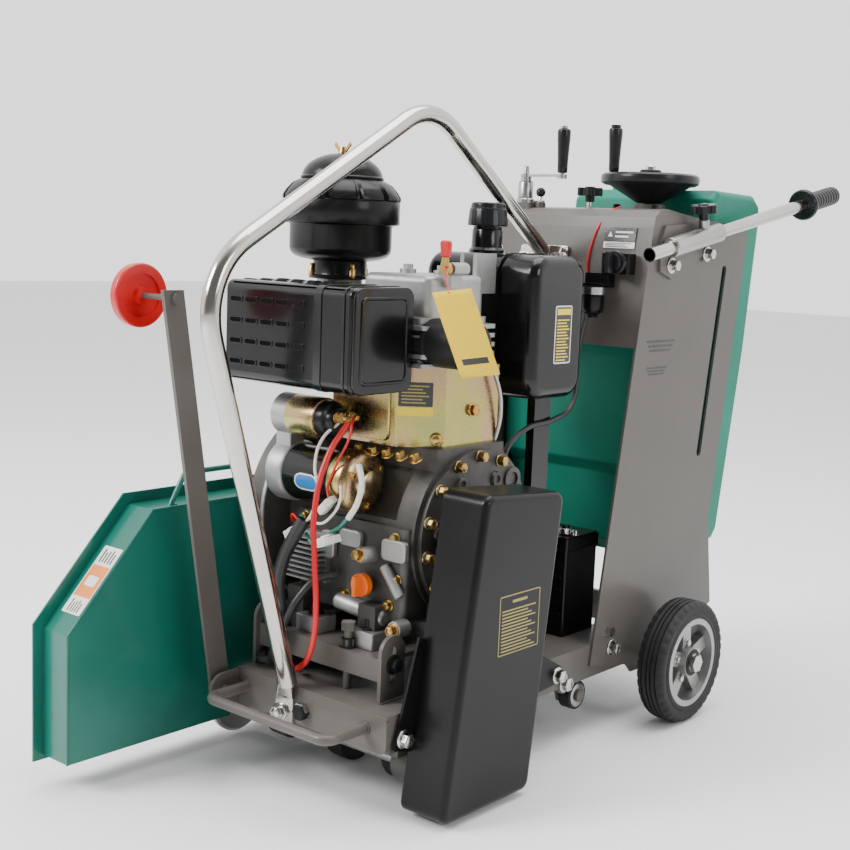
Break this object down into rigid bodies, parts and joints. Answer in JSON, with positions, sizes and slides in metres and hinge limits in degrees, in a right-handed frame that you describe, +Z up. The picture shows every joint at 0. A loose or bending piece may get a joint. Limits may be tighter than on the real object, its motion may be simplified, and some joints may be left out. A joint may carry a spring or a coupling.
{
  "type": "walk-behind concrete saw",
  "caption": "Walk-behind saw for cutting concrete and asphalt, with an exposed engine, belt-driven blade arbor, hinged guard, pointer, screw lift, water tank and sliding handles.",
  "frame": {"origin": "under the middle of the whole machine, on the floor", "axes": "+Z up, -Y the way the saw moves forward, +X towards the belt cover, which is the operator's left"},
  "size_m": [0.516, 1.4332, 0.965],
  "materials": {
    "grey_paint": "satin",
    "green_paint": "satin",
    "black_paint": "gloss",
    "red_paint": "satin",
    "polished_steel": "satin",
    "machined_steel": "satin",
    "zinc_yellow": "satin",
    "cast_alloy": "rough cast",
    "dark_casting": "rough cast",
    "black_moulding": "textured",
    "green_moulding": "satin",
    "orange_moulding": "satin",
    "belt_rubber": "matte",
    "cable_sheath": "satin",
    "tyre_rubber": "matte"
  },
  "bodies": {
    "chassis": {"chassis_frame": "grey_paint", "lifting_bail": "polished_steel", "column_side_plates": "grey_paint", "column_cover": "grey_paint", "water_tank": "green_moulding", "belt_cover": "black_moulding", "engine_base": "grey_paint", "crankcase": "dark_casting", "flywheel_housing": "dark_casting", "cylinder_shroud": "zinc_yellow", "cylinder_head": "cast_alloy", "rocker_cover": "cast_alloy", "muffler": "black_paint", "air_cleaner_bowl": "black_paint", "air_cleaner_lid": "black_paint", "fuel_tank": "black_paint", "starter_motor": "cast_alloy", "voltage_regulator": "cast_alloy", "drive_belts": "belt_rubber", "arbor_bearings": "dark_casting", "handle_brackets": "grey_paint", "rear_axle": "machined_steel", "battery": "black_moulding", "fuel_filter": "black_moulding", "ignition_switch": "black_moulding", "battery_cables": "cable_sheath", "frame_bolts": "zinc_yellow"},
    "guard": {"blade_guard": "green_paint"},
    "pointer": {"pointer_arm": "grey_paint"},
    "pointer_roller": {"pointer_wheel": "red_paint"},
    "crank": {"engine_pulley": "machined_steel"},
    "arbor": {"arbor_shaft": "machined_steel", "arbor_pulley": "machined_steel", "blade_flange": "machined_steel"},
    "carriage": {"front_carriage": "machined_steel"},
    "front_roller_left": {"front_wheel_left": "tyre_rubber"},
    "front_roller_right": {"front_wheel_right": "tyre_rubber"},
    "lifter": {"lift_rod": "machined_steel"},
    "lift_wheel": {"handwheel": "black_moulding"},
    "lift_wheel_knob": {"handwheel_grip": "black_moulding"},
    "side_roller": {"guide_roller": "black_moulding"},
    "rear_wheel_left": {"rear_hub_left": "cast_alloy", "rear_tyre_left": "tyre_rubber"},
    "rear_wheel_right": {"rear_hub_right": "cast_alloy", "rear_tyre_right": "tyre_rubber"},
    "throttle": {"throttle_crank": "machined_steel"},
    "throttle_grip": {"crank_grip": "black_moulding"},
    "engine_stop": {"stop_knob": "black_moulding"},
    "column_clamp": {"column_knob": "black_moulding"},
    "handle_left": {"handle_tube_left": "polished_steel", "handle_grip_left": "belt_rubber"},
    "handle_right": {"handle_tube_right": "polished_steel", "handle_grip_right": "belt_rubber"},
    "clamp_left": {"handle_knob_left": "black_moulding"},
    "clamp_right": {"handle_knob_right": "black_moulding"},
    "cleaner_nut": {"wing_nut": "zinc_yellow"},
    "tank_cap": {"fuel_cap": "black_moulding"},
    "oil_cap": {"oil_filler_cap": "orange_moulding"},
    "decompressor": {"decompression_lever": "red_paint"},
    "key_knob": {"ignition_knob": "red_paint"}
  },
  "joints": [
    {"name": "guard_lift", "type": "hinge", "parent": "chassis", "child": "guard", "pos_m": [-0.199, -0.15263, 0.13], "axis": [-1, 0, 0], "range_deg": [0, 65]},
    {"name": "pointer_swing", "type": "hinge", "parent": "chassis", "child": "pointer", "pos_m": [-0.1405, -0.48863, 0.119], "axis": [1, 0, 0], "range_deg": [0, 88]},
    {"name": "pointer_wheel_spin", "type": "hinge", "parent": "pointer", "child": "pointer_roller", "pos_m": [-0.214, -0.57663, 0.675], "axis": [1, 0, 0], "continuous": true},
    {"name": "arbor_spin", "type": "hinge", "parent": "chassis", "child": "arbor", "pos_m": [0.015, -0.37663, 0.057], "axis": [1, 0, 0], "continuous": true},
    {"name": "crank_spin", "type": "hinge", "parent": "chassis", "child": "crank", "pos_m": [0.165, -0.27763, 0.335], "axis": [1, 0, 0], "continuous": true},
    {"name": "lift_wheel_turn", "type": "hinge", "parent": "chassis", "child": "lift_wheel", "pos_m": [0.065, 0.26537, 0.86], "axis": [0, 0, -1], "range_deg": [0, 4270]},
    {"name": "carriage_swing", "type": "hinge", "parent": "chassis", "child": "carriage", "pos_m": [0.015, -0.05263, 0.098], "axis": [1, 0, 0], "range_deg": [0, 10.8]},
    {"name": "lifter_slide", "type": "slide", "parent": "chassis", "child": "lifter", "axis": [0, 0, 1], "range_m": [0, 0.06]},
    {"name": "lift_knob_spin", "type": "hinge", "parent": "lift_wheel", "child": "lift_wheel_knob", "pos_m": [0.018, 0.22537, 0.92], "axis": [0, 0, 1], "continuous": true},
    {"name": "front_left_spin", "type": "hinge", "parent": "carriage", "child": "front_roller_left", "pos_m": [0.0815, -0.32063, 0.042], "axis": [1, 0, 0], "continuous": true},
    {"name": "front_right_spin", "type": "hinge", "parent": "carriage", "child": "front_roller_right", "pos_m": [-0.0315, -0.32063, 0.042], "axis": [1, 0, 0], "continuous": true},
    {"name": "side_roller_spin", "type": "hinge", "parent": "chassis", "child": "side_roller", "pos_m": [0.143, -0.00363, 0.066], "axis": [1, 0, 0], "continuous": true},
    {"name": "rear_left_spin", "type": "hinge", "parent": "chassis", "child": "rear_wheel_left", "pos_m": [0.225, 0.18537, 0.1], "axis": [1, 0, 0], "continuous": true},
    {"name": "rear_right_spin", "type": "hinge", "parent": "chassis", "child": "rear_wheel_right", "pos_m": [-0.195, 0.18537, 0.1], "axis": [1, 0, 0], "continuous": true},
    {"name": "throttle_turn", "type": "hinge", "parent": "chassis", "child": "throttle", "pos_m": [-0.113, 0.15737, 0.87], "axis": [0, 0, 1], "continuous": true},
    {"name": "throttle_grip_spin", "type": "hinge", "parent": "throttle", "child": "throttle_grip", "pos_m": [-0.039, 0.15737, 0.92], "axis": [0, 0, 1], "continuous": true},
    {"name": "stop_pull", "type": "slide", "parent": "chassis", "child": "engine_stop", "axis": [0, 0, 1], "range_m": [0, 0.012]},
    {"name": "column_clamp_turn", "type": "hinge", "parent": "chassis", "child": "column_clamp", "pos_m": [0.005, 0.17737, 0.85], "axis": [0, 0, 1], "continuous": true},
    {"name": "handle_left_slide", "type": "slide", "parent": "chassis", "child": "handle_left", "axis": [0, 0.9827, 0.185], "range_m": [-0.15, 0.05]},
    {"name": "handle_right_slide", "type": "slide", "parent": "chassis", "child": "handle_right", "axis": [0, 0.9827, 0.185], "range_m": [-0.15, 0.05]},
    {"name": "clamp_left_turn", "type": "hinge", "parent": "chassis", "child": "clamp_left", "pos_m": [0.185, 0.24111, 0.81358], "axis": [0, -0.185, 0.9827], "continuous": true},
    {"name": "clamp_right_turn", "type": "hinge", "parent": "chassis", "child": "clamp_right", "pos_m": [-0.155, 0.24111, 0.81358], "axis": [0, -0.185, 0.9827], "continuous": true},
    {"name": "cleaner_nut_turn", "type": "hinge", "parent": "chassis", "child": "cleaner_nut", "pos_m": [-0.135, -0.26763, 0.892], "axis": [0, 0, 1], "continuous": true},
    {"name": "tank_cap_turn", "type": "hinge", "parent": "chassis", "child": "tank_cap", "pos_m": [-0.013, -0.07063, 0.79], "axis": [0, 0, 1], "range_deg": [0, 90]},
    {"name": "oil_cap_turn", "type": "hinge", "parent": "chassis", "child": "oil_cap", "pos_m": [0.04, -0.38663, 0.287], "axis": [0, 1, 0], "continuous": true},
    {"name": "decompressor_turn", "type": "hinge", "parent": "chassis", "child": "decompressor", "pos_m": [0.095, -0.28263, 0.726], "axis": [0, 1, 0], "range_deg": [0, 60]},
    {"name": "key_turn", "type": "hinge", "parent": "chassis", "child": "key_knob", "pos_m": [0.127, 0.07737, 0.74], "axis": [0, 1, 0], "range_deg": [0, 60]}
  ],
  "couplings": [
    {"joint": "crank_spin", "follows": "arbor_spin", "ratio": 0.95},
    {"joint": "carriage_swing", "follows": "lift_wheel_turn", "ratio": 0.0025024},
    {"joint": "lifter_slide", "follows": "lift_wheel_turn", "m_per_rad": 0.00079577}
  ]
}
